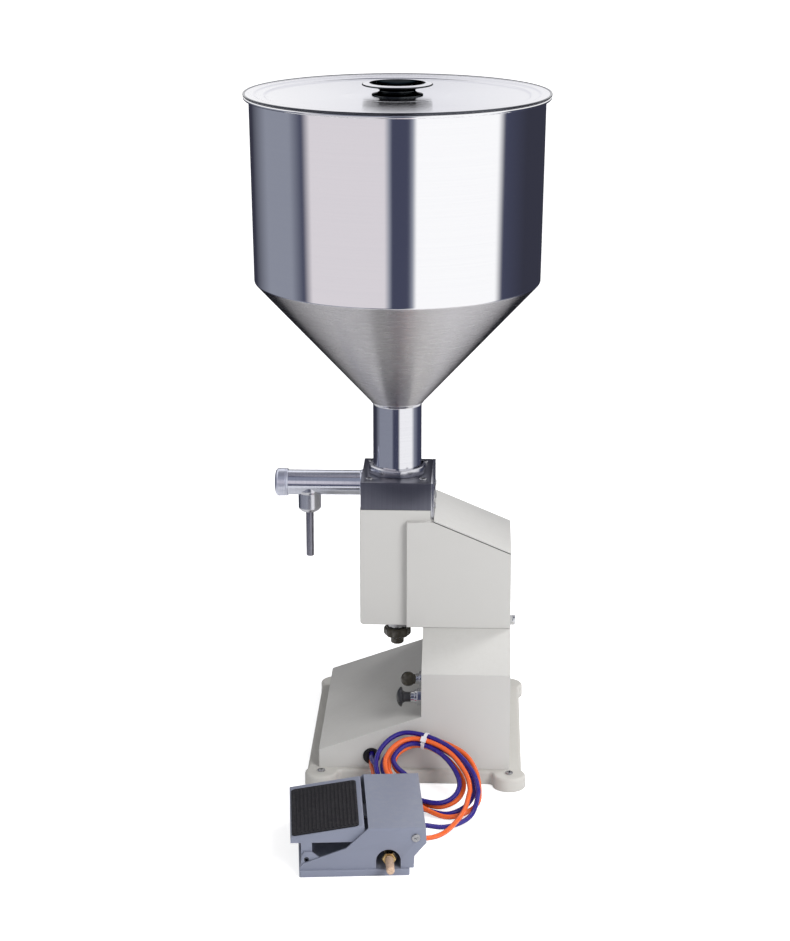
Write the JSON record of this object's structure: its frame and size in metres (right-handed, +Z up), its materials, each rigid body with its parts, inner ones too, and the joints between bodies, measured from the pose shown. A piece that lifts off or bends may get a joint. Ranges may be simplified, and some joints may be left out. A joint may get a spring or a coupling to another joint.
{
  "type": "liquid filling machine",
  "caption": "Pneumatic piston filler: lidded steel hopper over a valve block with side nozzle, sheet-metal column on a slab, and a foot valve on a tied coil of hoses",
  "frame": {"origin": "on the hopper's vertical axis, at the underside of the base slab", "axes": "+Z up, +X from the hopper's axis to the column at the back, the outlet tube at -X, the foot valve at -Y"},
  "size_m": [0.312, 0.5198, 0.7078],
  "materials": {
    "polished_steel": "mirror-polished stainless steel",
    "satin_steel": "turned and polished stainless steel",
    "spring_steel": "bright spring wire",
    "block_metal": "dark satin, nearly black from the front",
    "bright_screws": "plated screw steel",
    "cylinder_metal": "anodised, satin",
    "pale_paint": "warm light grey powder coat, smooth",
    "pedal_paint": "blue-grey hammered enamel",
    "black_plastic": "black moulded plastic",
    "black_rubber": "black rubber",
    "bright_chrome": "chrome-plated collars and nuts",
    "brass": "brass with a sintered bronze end",
    "blue_hose": "blue polyurethane tube",
    "orange_hose": "orange polyurethane tube",
    "white_plastic": "white nylon"
  },
  "bodies": {
    "machine": {"hopper_shell": "polished_steel", "hopper_neck": "polished_steel", "neck_ring_nut": "satin_steel", "outlet_tube": "satin_steel", "outlet_cap": "satin_steel", "nozzle_holder": "satin_steel", "nozzle": "satin_steel", "valve_guides": "satin_steel", "product_cylinder": "satin_steel", "spindle_bush": "satin_steel", "pedal_pivot_pin": "satin_steel", "valve_block": "block_metal", "end_plate": "block_metal", "block_screws": "bright_screws", "pad_screws": "bright_screws", "pedal_screws": "bright_screws", "air_cylinder_tube": "cylinder_metal", "air_cylinder_caps": "cylinder_metal", "pedal_valve_body": "cylinder_metal", "base_housing": "pale_paint", "head_housing": "pale_paint", "side_cover_near": "pale_paint", "side_cover_far": "pale_paint", "top_cover": "pale_paint", "base_plate": "pale_paint", "pedal_base": "pedal_paint", "pedal_cover": "pedal_paint", "rubber_pads": "black_rubber", "hose_grommet": "black_rubber", "speed_valve_body": "bright_chrome", "mode_valve_body": "bright_chrome", "air_inlet": "bright_chrome", "hose_fittings": "bright_chrome", "silencer": "brass", "hose_blue_lead": "blue_hose", "hose_blue_tail": "blue_hose", "hose_coil": "blue_hose", "hose_orange_lead": "orange_hose", "hose_orange_tail": "orange_hose", "cable_tie": "white_plastic"},
    "lid_set": {"lid": "polished_steel", "lid_knob": "polished_steel"},
    "drive": {"product_piston": "satin_steel", "piston_seals": "black_rubber", "piston_rod": "satin_steel", "crosshead": "cylinder_metal", "air_rod": "satin_steel", "air_piston": "cylinder_metal"},
    "suction_check": {"suction_valve": "satin_steel", "suction_spring": "spring_steel"},
    "discharge_check": {"discharge_poppet": "satin_steel", "discharge_spring": "spring_steel"},
    "volume_grip": {"volume_knob": "black_plastic"},
    "stop_spindle": {"volume_spindle": "satin_steel"},
    "speed_grip": {"speed_knob": "black_plastic"},
    "mode_push": {"mode_button": "black_plastic"},
    "foot_treadle": {"treadle": "pedal_paint", "treadle_pad": "black_rubber"},
    "foot_plunger": {"pedal_plunger": "satin_steel", "pedal_spring": "spring_steel"}
  },
  "joints": [
    {"name": "lid_lift", "type": "slide", "parent": "machine", "child": "lid_set", "axis": [0, 0, 1], "range_m": [0, 0.15]},
    {"name": "piston_stroke", "type": "slide", "parent": "machine", "child": "drive", "axis": [0, 0, 1], "range_m": [-0.036, 0]},
    {"name": "suction_open", "type": "slide", "parent": "machine", "child": "suction_check", "axis": [0, 0, 1], "range_m": [-0.006, 0], "stiffness_N_per_m": 300, "springref_m": 0.01, "deforming": ["suction_spring"]},
    {"name": "discharge_open", "type": "slide", "parent": "machine", "child": "discharge_check", "axis": [-1, 0, 0], "range_m": [0, 0.008], "stiffness_N_per_m": 300, "springref_m": -0.01, "deforming": ["discharge_spring"]},
    {"name": "volume_knob_turn", "type": "hinge", "parent": "machine", "child": "volume_grip", "pos_m": [0, 0, 0.122], "axis": [0, 0, 1], "range_deg": [0, 1440]},
    {"name": "spindle_rise", "type": "slide", "parent": "machine", "child": "stop_spindle", "axis": [0, 0, 1], "range_m": [0, 0.02]},
    {"name": "speed_knob_turn", "type": "hinge", "parent": "machine", "child": "speed_grip", "pos_m": [0.013, -0.049, 0.086], "axis": [1, 0, 0], "range_deg": [0, 720]},
    {"name": "mode_button_push", "type": "slide", "parent": "machine", "child": "mode_push", "axis": [1, 0, 0], "range_m": [0, 0.004], "stiffness_N_per_m": 800, "springref_m": -0.004},
    {"name": "pedal_press", "type": "hinge", "parent": "machine", "child": "foot_treadle", "pos_m": [-0.07933, -0.28165, 0.016], "axis": [-0.0854, 0.9963, 0], "range_deg": [0, 6], "stiffness_Nm_per_rad": 2, "springref_deg": -11.46},
    {"name": "plunger_push", "type": "slide", "parent": "machine", "child": "foot_plunger", "axis": [0, 0, 1], "range_m": [-0.0072, 0], "deforming": ["pedal_spring"]}
  ],
  "couplings": [
    {"joint": "spindle_rise", "follows": "volume_knob_turn", "m_per_rad": 0.00079577},
    {"joint": "plunger_push", "follows": "pedal_press", "m_per_rad": -0.0685}
  ]
}
